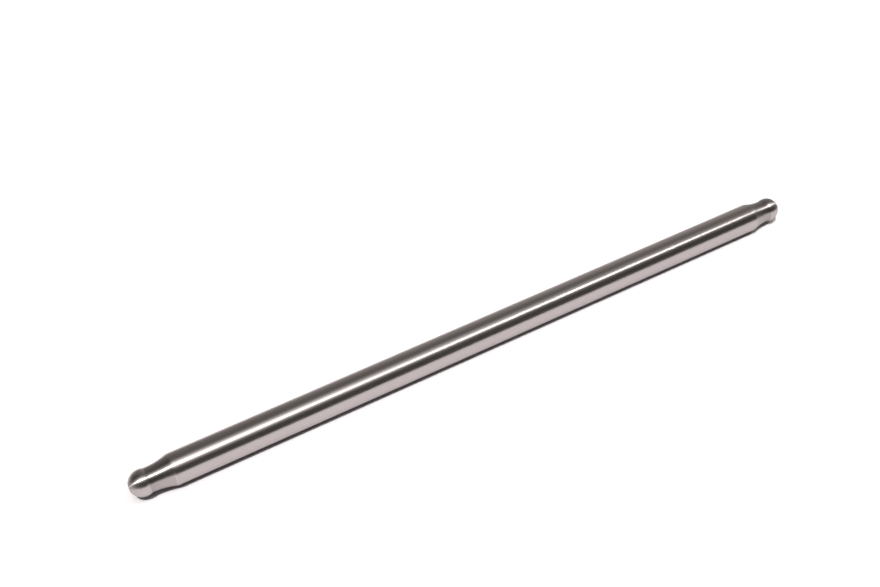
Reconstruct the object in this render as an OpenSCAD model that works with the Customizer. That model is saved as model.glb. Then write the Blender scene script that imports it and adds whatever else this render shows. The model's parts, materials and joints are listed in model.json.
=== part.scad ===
// Engine pushrod: one seamless steel tube, swaged and ground at both ends to a ball on a flared neck.
// The rod lies along X with its middle at the origin. Millimetres.

/* [Tube] */
// Length over the two full balls, before the oil holes are drilled
rod_len = 234.95; // [150:0.05:320]
// Outside diameter of the ground tube
tube_d = 9.525; // [8.4:0.025:12.7]
// Wall of the tube
tube_wall = 2.03; // [1.2:0.01:3]

/* [Ball ends] */
// Diameter of the ball
ball_d = 7.9375; // [7.5:0.0125:9.5]
// How far the neck is let in below the ball's surface, so that it clears the rim of the cup
neck_undercut = 0.3; // [0.2:0.01:0.9]
// Length of the straight neck, from the ball's corner to the start of the flare
neck_len = 0.3; // [0.1:0.1:8]
// Radius in the corner where the ball meets the neck
corner_r = 0.8; // [0.2:0.1:1.5]
// Radius of the hollow flare from the neck out to the tube
flare_r = 20; // [8:0.05:40]
// Length along the tube that the shoulder's broken edge takes up
shoulder_break = 0.2; // [0.1:0.05:1]

/* [Oil passage] */
// Diameter of the oil hole through each ball
oil_hole_d = 2; // [1:0.1:3]
// Width of the chamfer at the mouth of the oil hole
oil_hole_chamfer = 0.15; // [0.05:0.05:0.5]

/* [Hidden] */
// Facets round a full circle
$fn = 96;

// How far an arc runs into the line it is tangent to, so that the outline closes cleanly
lap = 0.002;

tube_r = tube_d / 2;
bore_r = tube_r - tube_wall;
ball_r = ball_d / 2;
neck_r = ball_r - neck_undercut;
oil_hole_r = oil_hole_d / 2;

// Distance from the rod's middle to each ball's centre
ball_reach = rod_len / 2 - ball_r;

// The corner's arc is tangent to the ball and to the neck; heights are counted from the ball's centre
corner_centre_r = neck_r + corner_r;
corner_z = sqrt(pow(ball_r + corner_r, 2) - pow(corner_centre_r, 2));
ball_edge_r = corner_centre_r * ball_r / (ball_r + corner_r);

// The flare's arc is tangent to the neck and meets the tube at the shoulder
flare_z = corner_z + neck_len;
flare_centre_r = neck_r + flare_r;
flare_len = sqrt(pow(flare_r, 2) - pow(flare_centre_r - tube_r, 2));
shoulder_z = flare_z + flare_len;

// The shoulder's edge is broken at half the angle at which the flare meets the tube
break_slope = tan(asin(flare_len / flare_r) / 2);

// The chamfer's outer rim lies on the ball
mouth_r = oil_hole_r + oil_hole_chamfer;
mouth_z = -sqrt(pow(ball_r, 2) - pow(mouth_r, 2));

// Ball, with the corner arc that leads it into the neck
module ball_outline() {
    intersection() {
        circle(ball_r);
        translate([0, -ball_r]) square([ball_r, ball_d]);
    }
    difference() {
        square([ball_edge_r, corner_z]);
        translate([corner_centre_r - lap, corner_z]) circle(corner_r);
    }
}

// Neck, flare, shoulder with its broken edge, and half the tube
module tube_outline() {
    difference() {
        polygon([
            [0, 0],
            [neck_r, 0],
            [neck_r, flare_z],
            [tube_r, flare_z],
            [tube_r, shoulder_z - 3 * shoulder_break],
            [tube_r - 4 * shoulder_break * break_slope, shoulder_z - 3 * shoulder_break],
            [tube_r, shoulder_z + shoulder_break],
            [tube_r, ball_reach],
            [0, ball_reach],
        ]);
        translate([flare_centre_r - lap, flare_z]) circle(flare_r);
    }
}

// Oil passage: the tube's bore, drawn in under the flare to the hole in the ball
module passage_outline() {
    polygon([
        [0, mouth_z - ball_r],
        [mouth_r + ball_r, mouth_z - ball_r],
        [oil_hole_r, mouth_z + oil_hole_chamfer],
        [oil_hole_r, flare_z],
        [bore_r, shoulder_z],
        [bore_r, ball_reach],
        [0, ball_reach],
    ]);
}

// A half section of one end, set out to both ends of the rod
module both_ends() {
    for (flip = [0, 1])
        mirror([0, flip]) translate([0, -ball_reach]) children();
}

module pushrod() {
    color([0.62, 0.60, 0.58])
        rotate([0, 90, 0])
            rotate_extrude()
                difference() {
                    both_ends() union() {
                        ball_outline();
                        tube_outline();
                    }
                    both_ends() passage_outline();
                }
}

pushrod();
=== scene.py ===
"""Engine pushrod in bright ground steel, lying on a white studio floor."""

import json
import math

import bmesh
import bpy
from mathutils import Matrix, Vector


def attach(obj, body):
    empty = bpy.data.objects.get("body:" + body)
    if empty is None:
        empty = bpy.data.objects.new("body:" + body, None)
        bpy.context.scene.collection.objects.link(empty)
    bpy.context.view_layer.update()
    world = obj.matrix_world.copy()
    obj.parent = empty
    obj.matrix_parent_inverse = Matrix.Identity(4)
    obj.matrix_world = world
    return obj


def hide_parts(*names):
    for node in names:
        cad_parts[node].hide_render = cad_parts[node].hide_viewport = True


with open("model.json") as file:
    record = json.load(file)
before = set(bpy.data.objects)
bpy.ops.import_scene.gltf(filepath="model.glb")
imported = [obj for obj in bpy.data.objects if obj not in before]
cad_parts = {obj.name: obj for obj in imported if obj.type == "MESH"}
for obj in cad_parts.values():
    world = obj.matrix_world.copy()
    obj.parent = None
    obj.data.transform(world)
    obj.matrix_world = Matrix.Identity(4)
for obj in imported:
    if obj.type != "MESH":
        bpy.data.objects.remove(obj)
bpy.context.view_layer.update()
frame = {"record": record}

MM = 0.001
UP = Vector((0, 0, 1))

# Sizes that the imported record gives
mounts = {mount["name"]: mount for mount in frame["record"]["mounts"]}
TUBE_R = mounts["shank"]["dims"]["r_mm"] * MM
BALL_X = mounts["rocker_ball"]["pos_m"][0]
OIL_HOLE_R = mounts["rocker_oil_hole"]["dims"]["r_mm"] * MM

# The swaged end, as in the solid, but with the shoulder's edge rounded
BALL_R = 3.96875 * MM
NECK_UNDERCUT = 0.3 * MM
NECK_LEN = 0.3 * MM
CORNER_R = 0.8 * MM
FLARE_R = 20 * MM
SHOULDER_R = 1.2 * MM
TUBE_WALL = 2.03 * MM
OIL_HOLE_CHAMFER = 0.15 * MM
NECK_R = BALL_R - NECK_UNDERCUT
BORE_R = TUBE_R - TUBE_WALL

# The corner's arc lies against the ball and the neck: how far its centre is from the rod's axis, and how
# far it lies behind the ball's centre
CORNER_CENTRE_R = NECK_R + CORNER_R
CORNER_REACH = math.sqrt((BALL_R + CORNER_R) ** 2 - CORNER_CENTRE_R ** 2)
# The flare's arc runs from the neck into the shoulder's, which ends on the tube: how far their centres are
# from the axis, how far the two reach along it, and where the tube begins
FLARE_CENTRE_R = NECK_R + FLARE_R
SHOULDER_CENTRE_R = TUBE_R - SHOULDER_R
FLARE_REACH = math.sqrt((FLARE_R + SHOULDER_R) ** 2 - (FLARE_CENTRE_R - SHOULDER_CENTRE_R) ** 2)
SHOULDER_X = BALL_X - CORNER_REACH - NECK_LEN - FLARE_REACH

# How finely the outline's arcs and the turned surface are cut
BALL_STEPS = 48
CORNER_STEPS = 8
FLARE_STEPS = 32
SHOULDER_STEPS = 8
TURN_STEPS = 160
# A short band of tube beside each shoulder keeps the long face's normals straight
SHOULDER_BAND = 0.4 * MM
# Points that are closer than this are merged
SAME_POINT = 0.001 * MM
# Edges that turn by more than this are drawn sharp
SHARP_EDGE = math.radians(30)
# The passage's faces look at the axis at least this squarely, and the chamfers of its mouths less so
PASSAGE_SQUARE = 0.9

# The rod's materials, in the order of their slots
TUBE_SLOT = 0
END_SLOT = 1
PASSAGE_SLOT = 2

# The camera, as fitted to the photograph: place, heading from +X, tilt, roll, and lens in millimetres
CAMERA_PLACE = Vector((-137.4, -227.9, 220.1)) * MM
CAMERA_HEADING = math.radians(62.2)
CAMERA_TILT = math.radians(-37.56)
CAMERA_ROLL = math.radians(-4.71)
CAMERA_LENS = 45.39

# Two lamps, so far off that they light the floor evenly: the way to each, how wide it looks, its strength.
# The main one is high on the camera's side. The weak one draws the highlight on to the rod's far end
LAMPS = {
    "main_lamp": (Vector((-0.3, -0.339, 0.892)), math.radians(5), 2.15),
    "line_lamp": (Vector((0.47, -0.342, 0.814)), math.radians(10), 0.31),
}
LAMP_WARMTH = (1.0, 0.985, 0.955)

# The main lamp's glow on the ceiling: the way there, how strong it is, and how narrow
GLOW_WAY = Vector((-0.06, -0.292, 0.955)).normalized()
GLOW_STRENGTH = 2.9
GLOW_NARROW = 20.0

# The white paper's far edge: how high over the horizon it is full, and where it is gone, both as sines
EDGE_WHITE = (1, 1, 1, 1)
EDGE_HEIGHT = 0.005
EDGE_FADE = 0.02

# The dim room: the way to its brightest wall, its tint, and its light in steps from the wall opposite round
# to that one
ROOM_BRIGHT_WAY = Vector((0.9, 1.0, 0.0)).normalized()
ROOM_TINT = (1.05, 1.0, 0.95)
ROOM = (
    (0.0, 0.06),
    (0.3, 0.07),
    (0.36, 0.065),
    (0.43, 0.02),
    (0.52, 0.02),
    (0.62, 0.16),
    (0.72, 0.185),
    (0.775, 0.15),
    (0.86, 0.23),
    (0.92, 0.36),
    (1.0, 0.55),
)

# The paper floor: how far it reaches in metres, its white as seen and mirrored, and the darker shade
# that it gives back into the rod's shadow
FLOOR_REACH = 60.0
FLOOR_WHITE = (1.09, 1.06, 1.1, 1)
FLOOR_SHADE = (0.12, 0.1, 0.12, 1)
# Light that has bounced off matte paper more often than this is on its way back to the floor
GIVEN_BACK = 0.5

# The marks in the steel, by their spacing along the rod and across it
RINGS = (0.3 * MM, 30 * MM)
STREAKS = (80 * MM, 1.1 * MM)
MOTTLE = (7 * MM, 3 * MM)
BORE_MARKS = (5 * MM, 0.8 * MM)
# How many finer layers the marks have, how strong each is, and the range in which most of their values lie
MARK_LAYERS = 3.0
MARK_FINENESS = 0.6
MARK_RANGE = (0.3, 0.7)

# The ground steel wanders between two tints, and up to this much of a paler one shows in its streaks
STRAW_TINT = (0.54, 0.501, 0.488, 1)
ROSE_TINT = (0.56, 0.501, 0.509, 1)
STREAK_TINT = (0.586, 0.55, 0.54, 1)
STREAK_MOST = 0.5
# How much light the steel gives back at its rim, where it is seen at a slant
RIM_TINT = (0.7, 0.7, 0.7, 1)

# The end's brightness, partly its finish and partly painted light: distance past the tube, and how much of
# the steel's brightness shows there. The shoulder's bright line is a painted highlight, the flare gets
# duller up to the crease, partly with painted shade, which is darkest in the crease, and the ball is bright
# again
FINISH_AND_PAINTED_LIGHT_LEN = 8 * MM
FINISH_AND_PAINTED_LIGHT = (
    (0.1 * MM, 0.86),
    (0.2 * MM, 1.0),
    (0.4 * MM, 1.0),
    (0.6 * MM, 0.8),
    (3.2 * MM, 0.77),
    (5.7 * MM, 0.73),
    (7.1 * MM, 0.69),
    (7.3 * MM, 0.63),
    (7.5 * MM, 0.93),
)

# How rough the tube and the swaged ends are, and how far the rings make that swing
TUBE_ROUGHNESS = 0.28
END_ROUGHNESS = 0.35
ROUGHNESS_SWING = 0.006
# How far the rings stretch the gloss, and the turn from the way they run to the way it is stretched
TUBE_STRETCH = 0.74
END_STRETCH = 0.97
STRETCH_TURN = 0.25
# The rings' relief: its depth, and how much of it shows
RING_DEPTH = 0.1 * MM
RING_SHOW = 0.004

# The passage's drawn steel: its darker and its paler tint, and its roughness
BORE_DARK = (0.16, 0.145, 0.13, 1)
BORE_PALE = (0.26, 0.245, 0.235, 1)
BORE_ROUGHNESS = (0.35, 0.5)

# The mix node's sockets for colours, which have the same names as those for plain numbers
MIX_FACTOR = 0
MIX_FIRST = 6
MIX_SECOND = 7
MIX_RESULT = 2


def node(tree, kind, inputs=None, **settings):
    """Adds a shader node; an input, by its name or number, is a plain value or the socket that feeds it."""
    made = tree.nodes.new(kind)
    for name, value in settings.items():
        setattr(made, name, value)
    for name, value in (inputs or {}).items():
        if isinstance(value, bpy.types.NodeSocket):
            tree.links.new(value, made.inputs[name])
        else:
            made.inputs[name].default_value = value
    return made


def calculate(tree, operation, first, second=0.0):
    """One step of arithmetic, on plain numbers or the sockets that feed it."""
    made = node(tree, "ShaderNodeMath", {0: first, 1: second}, operation=operation)
    return made.outputs["Value"]


def map_range(tree, value, source, target=(0.0, 1.0)):
    """Maps one range of a value to another, and holds it at the ends."""
    made = node(tree, "ShaderNodeMapRange", {
        "Value": value,
        "From Min": source[0],
        "From Max": source[1],
        "To Min": target[0],
        "To Max": target[1],
    })
    return made.outputs["Result"]


def mix(tree, kind, factor, first, second):
    """Mixes two colours, each a plain colour or the socket that feeds it."""
    inputs = {MIX_FACTOR: factor, MIX_FIRST: first, MIX_SECOND: second}
    made = node(tree, "ShaderNodeMix", inputs, data_type="RGBA", blend_type=kind)
    return made.outputs[MIX_RESULT]


def ramp(tree, value, stops):
    """A colour ramp over a value from 0 to 1, from its stops' places and colours."""
    made = node(tree, "ShaderNodeValToRGB", {"Fac": value})
    elements = made.color_ramp.elements
    while len(elements) < len(stops):
        elements.new(1.0)
    for element, (place, colour) in zip(elements, stops):
        element.position = place
        element.color = (*colour, 1)
    return made.outputs["Color"]


def grain_group():
    """Noise drawn out along the rod or round it: long and thin, or short and wide."""
    tree = bpy.data.node_groups.new("rod_grain", "ShaderNodeTree")
    for name in ("Along", "Across"):
        tree.interface.new_socket(name, in_out="INPUT", socket_type="NodeSocketFloat")
    tree.interface.new_socket("Grain", in_out="OUTPUT", socket_type="NodeSocketFloat")
    given = tree.nodes.new("NodeGroupInput")
    place = node(tree, "ShaderNodeTexCoord")
    spacing = node(tree, "ShaderNodeCombineXYZ", {
        "X": given.outputs["Along"],
        "Y": given.outputs["Across"],
        "Z": given.outputs["Across"],
    })
    stretched = node(tree, "ShaderNodeVectorMath", {
        0: place.outputs["Object"],
        1: spacing.outputs["Vector"],
    }, operation="DIVIDE")
    noise = node(tree, "ShaderNodeTexNoise", {
        "Vector": stretched.outputs["Vector"],
        "Scale": 1.0,
        "Detail": MARK_LAYERS,
        "Roughness": MARK_FINENESS,
    })
    result = tree.nodes.new("NodeGroupOutput")
    tree.links.new(noise.outputs["Fac"], result.inputs["Grain"])
    return tree


def grain(tree, spacing):
    """The grain group placed in a material, with its spacing along and across the rod."""
    along, across = spacing
    made = node(tree, "ShaderNodeGroup", node_tree=rod_grain)
    made.inputs["Along"].default_value = along
    made.inputs["Across"].default_value = across
    return made.outputs["Grain"]


def end_finish_and_painted_light(tree):
    """How bright each stretch is, tube, shoulder line, flare, crease and ball: partly grinding, partly
    painted light.
    """
    place = node(tree, "ShaderNodeTexCoord")
    parts = node(tree, "ShaderNodeSeparateXYZ", {"Vector": place.outputs["Object"]})
    from_middle = calculate(tree, "ABSOLUTE", parts.outputs["X"])
    along_end = map_range(tree, from_middle, (SHOULDER_X, SHOULDER_X + FINISH_AND_PAINTED_LIGHT_LEN))
    # The shoulder line's brightness is a painted highlight, and the crease's darkness is painted shade
    stops = [(distance / FINISH_AND_PAINTED_LIGHT_LEN, (grey, grey, grey)) for distance, grey in FINISH_AND_PAINTED_LIGHT]
    return ramp(tree, along_end, stops)


def tint_group():
    """The ground steel's colour: a mottled tint with paler streaks, times each stretch's grinding and
    painted light.
    """
    tree = bpy.data.node_groups.new("ground_tint", "ShaderNodeTree")
    tree.interface.new_socket("Tint", in_out="OUTPUT", socket_type="NodeSocketColor")
    mottle = map_range(tree, grain(tree, MOTTLE), MARK_RANGE)
    mottled = mix(tree, "MIX", mottle, STRAW_TINT, ROSE_TINT)
    streaks = map_range(tree, grain(tree, STREAKS), MARK_RANGE, (0.0, STREAK_MOST))
    streaked = mix(tree, "MIX", streaks, mottled, STREAK_TINT)
    # Each stretch's brightness along the end: partly its grinding, partly painted highlight and painted
    # shade
    ground = mix(tree, "MULTIPLY", 1.0, streaked, end_finish_and_painted_light(tree))
    result = tree.nodes.new("NodeGroupOutput")
    tree.links.new(ground, result.inputs["Tint"])
    return tree


def new_material(name):
    """An empty material with its output node."""
    material = bpy.data.materials.new(name)
    material.use_nodes = True
    tree = material.node_tree
    tree.nodes.clear()
    return material, tree, tree.nodes.new("ShaderNodeOutputMaterial")


def ground_steel(name, roughness, stretch):
    """Bright ground steel, with fine grinding rings that stretch its gloss along the rod."""
    material, tree, output = new_material(name)
    tint = node(tree, "ShaderNodeGroup", node_tree=ground_tint)
    rings = grain(tree, RINGS)
    swing = (roughness - ROUGHNESS_SWING, roughness + ROUGHNESS_SWING)
    relief = node(tree, "ShaderNodeBump", {
        "Strength": RING_SHOW,
        "Distance": RING_DEPTH,
        "Height": rings,
    })
    round_rod = node(tree, "ShaderNodeTangent", direction_type="RADIAL", axis="X")
    steel = node(tree, "ShaderNodeBsdfPrincipled", {
        "Base Color": tint.outputs["Tint"],
        "Metallic": 1.0,
        "Roughness": map_range(tree, rings, MARK_RANGE, swing),
        "Anisotropic": stretch,
        "Anisotropic Rotation": STRETCH_TURN,
        "Specular Tint": RIM_TINT,
        "Normal": relief.outputs["Normal"],
        "Tangent": round_rod.outputs["Tangent"],
    })
    tree.links.new(steel.outputs["BSDF"], output.inputs["Surface"])
    return material


def drawn_bore():
    """The passage inside: drawn steel, darker and duller under a film of oil."""
    material, tree, output = new_material("drawn_bore")
    marks = grain(tree, BORE_MARKS)
    steel = node(tree, "ShaderNodeBsdfPrincipled", {
        "Base Color": mix(tree, "MIX", map_range(tree, marks, MARK_RANGE), BORE_DARK, BORE_PALE),
        "Metallic": 1.0,
        "Roughness": map_range(tree, marks, MARK_RANGE, BORE_ROUGHNESS),
    })
    tree.links.new(steel.outputs["BSDF"], output.inputs["Surface"])
    return material


def paper():
    """White paper that keeps the rod's shadow dark, by giving little light back into it."""
    material, tree, output = new_material("white_paper")
    path = node(tree, "ShaderNodeLightPath")
    given_back = calculate(tree, "GREATER_THAN", path.outputs["Diffuse Depth"], GIVEN_BACK)
    colour = mix(tree, "MIX", given_back, FLOOR_WHITE, FLOOR_SHADE)
    matte = node(tree, "ShaderNodeBsdfDiffuse", {"Color": colour})
    tree.links.new(matte.outputs["BSDF"], output.inputs["Surface"])
    return material


def line(bm, last, x, r):
    """Carries the outline on from its last point in a straight line, and returns the new last point."""
    made = bmesh.ops.extrude_vert_indiv(bm, verts=[last])["verts"][0]
    made.co = (x, 0, r)
    return made


def arc(bm, last, x, r, turn, steps):
    """Carries the outline on round a centre, and returns the new last point."""
    made = bmesh.ops.spin(bm, geom=[last], cent=(x, 0, r), axis=(0, 1, 0), angle=turn, steps=steps)
    return made["geom_last"][0]


def half_outline(bm):
    """Half section of one end, from the oil hole's mouth along the outside and the inside to the middle."""
    mouth_r = OIL_HOLE_R + OIL_HOLE_CHAMFER
    mouth_x = -BALL_X - math.sqrt(BALL_R ** 2 - mouth_r ** 2)
    corner_x = CORNER_REACH - BALL_X
    flare_x = corner_x + NECK_LEN
    shoulder_x = -SHOULDER_X
    corner_turn = math.atan2(CORNER_REACH, CORNER_CENTRE_R)
    ball_turn = math.pi / 2 + corner_turn - math.asin(mouth_r / BALL_R)
    flare_turn = math.atan2(FLARE_REACH, FLARE_CENTRE_R - SHOULDER_CENTRE_R)

    rim = bm.verts.new((mouth_x + OIL_HOLE_CHAMFER, 0, OIL_HOLE_R))
    last = line(bm, rim, mouth_x, mouth_r)
    last = arc(bm, last, -BALL_X, 0, ball_turn, BALL_STEPS)
    last = arc(bm, last, corner_x, CORNER_CENTRE_R, -corner_turn, CORNER_STEPS)
    last = line(bm, last, flare_x, NECK_R)
    last = arc(bm, last, flare_x, FLARE_CENTRE_R, -flare_turn, FLARE_STEPS)
    last = arc(bm, last, shoulder_x, SHOULDER_CENTRE_R, flare_turn, SHOULDER_STEPS)
    last = line(bm, last, shoulder_x + SHOULDER_BAND, TUBE_R)
    line(bm, last, 0, TUBE_R)

    last = line(bm, rim, flare_x, OIL_HOLE_R)
    last = line(bm, last, shoulder_x, BORE_R)
    line(bm, last, 0, BORE_R)


def material_slot(face):
    """Which of the rod's materials a face has: the passage's, a swaged end's or the tube's."""
    middle = face.calc_center_median()
    radius = math.hypot(middle.y, middle.z)
    inward = -(face.normal.y * middle.y + face.normal.z * middle.z)
    if radius < BORE_R and inward > PASSAGE_SQUARE * radius:
        return PASSAGE_SLOT
    if abs(middle.x) > SHOULDER_X:
        return END_SLOT
    return TUBE_SLOT


def new_object(name, bm, materials):
    """Makes an object of a finished bmesh, with its materials in the order of their slots."""
    mesh = bpy.data.meshes.new(name)
    bm.to_mesh(mesh)
    bm.free()
    for material in materials:
        mesh.materials.append(material)
    made = bpy.data.objects.new(name, mesh)
    bpy.context.collection.objects.link(made)
    return made


def pushrod():
    """The whole rod, turned from the half section of one end and its mirror image."""
    bm = bmesh.new()
    half_outline(bm)
    bmesh.ops.mirror(
        bm, geom=bm.verts[:] + bm.edges[:], matrix=Matrix.Identity(4), merge_dist=SAME_POINT, axis="X",
    )
    bmesh.ops.spin(
        bm, geom=bm.verts[:] + bm.edges[:], cent=(0, 0, 0), axis=(1, 0, 0),
        angle=math.tau, steps=TURN_STEPS, use_merge=True,
    )
    bmesh.ops.remove_doubles(bm, verts=bm.verts[:], dist=SAME_POINT)
    bmesh.ops.recalc_face_normals(bm, faces=bm.faces[:])
    for face in bm.faces:
        face.smooth = True
        face.material_index = material_slot(face)
    for edge in bm.edges:
        edge.smooth = edge.calc_face_angle(0) < SHARP_EDGE
    rod = new_object("pushrod_body", bm, (
        ground_steel("ground_steel", TUBE_ROUGHNESS, TUBE_STRETCH),
        ground_steel("ground_end", END_ROUGHNESS, END_STRETCH),
        drawn_bore(),
    ))
    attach(rod, "root")
    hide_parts("pushrod")


def floor():
    """The paper that the rod lies on."""
    bm = bmesh.new()
    bmesh.ops.create_grid(bm, x_segments=1, y_segments=1, size=FLOOR_REACH)
    bmesh.ops.translate(bm, verts=bm.verts[:], vec=(0, 0, -TUBE_R))
    sheet = new_object("paper_floor", bm, (paper(),))


def lamps():
    """Both lamps, each turned to face the rod."""
    for name, (way, width, strength) in LAMPS.items():
        light = bpy.data.lights.new(name, "SUN")
        light.angle = width
        light.energy = strength
        light.color = LAMP_WARMTH
        holder = bpy.data.objects.new(name, light)
        holder.rotation_euler = way.to_track_quat("Z", "Y").to_euler()
        bpy.context.collection.objects.link(holder)


def facing(tree, way):
    """How far a ray that leaves the scene goes a given way: 1 along it, -1 against it."""
    ray = node(tree, "ShaderNodeTexCoord")
    along = node(tree, "ShaderNodeVectorMath", {
        0: ray.outputs["Generated"],
        1: way,
    }, operation="DOT_PRODUCT")
    return along.outputs["Value"]


def room():
    """The dim room round the floor: brighter towards one wall, with the lamp's glow on its ceiling."""
    world = bpy.data.worlds.new("dim_room")
    bpy.context.scene.world = world
    world.use_nodes = True
    tree = world.node_tree
    tree.nodes.clear()
    across = map_range(tree, facing(tree, ROOM_BRIGHT_WAY), (-1.0, 1.0))
    stops = [(place, [level * part for part in ROOM_TINT]) for place, level in ROOM]
    edge = map_range(tree, facing(tree, UP), (EDGE_FADE, EDGE_HEIGHT))
    colour = mix(tree, "MIX", edge, ramp(tree, across, stops), EDGE_WHITE)
    walls = node(tree, "ShaderNodeBackground", {"Color": colour})
    upward = calculate(tree, "MAXIMUM", facing(tree, GLOW_WAY))
    patch = calculate(tree, "POWER", upward, GLOW_NARROW)
    glow = node(tree, "ShaderNodeBackground", {
        "Color": (*LAMP_WARMTH, 1),
        "Strength": calculate(tree, "MULTIPLY", patch, GLOW_STRENGTH),
    })
    both = node(tree, "ShaderNodeAddShader", {
        0: walls.outputs["Background"],
        1: glow.outputs["Background"],
    })
    output = tree.nodes.new("ShaderNodeOutputWorld")
    tree.links.new(both.outputs["Shader"], output.inputs["Surface"])


def photo_camera():
    """The camera where the photograph was taken from."""
    data = bpy.data.cameras.new("photo_camera")
    data.lens = CAMERA_LENS
    camera = bpy.data.objects.new("photo_camera", data)
    level = Matrix.Rotation(CAMERA_HEADING - math.pi / 2, 4, "Z")
    tilted = Matrix.Rotation(CAMERA_TILT + math.pi / 2, 4, "X")
    rolled = Matrix.Rotation(CAMERA_ROLL, 4, "Z")
    camera.matrix_world = Matrix.Translation(CAMERA_PLACE) @ level @ tilted @ rolled
    bpy.context.collection.objects.link(camera)
    bpy.context.scene.camera = camera


rod_grain = grain_group()
ground_tint = tint_group()
photo_camera()
pushrod()
floor()
lamps()
room()
bpy.context.scene.view_settings.view_transform = "Standard"
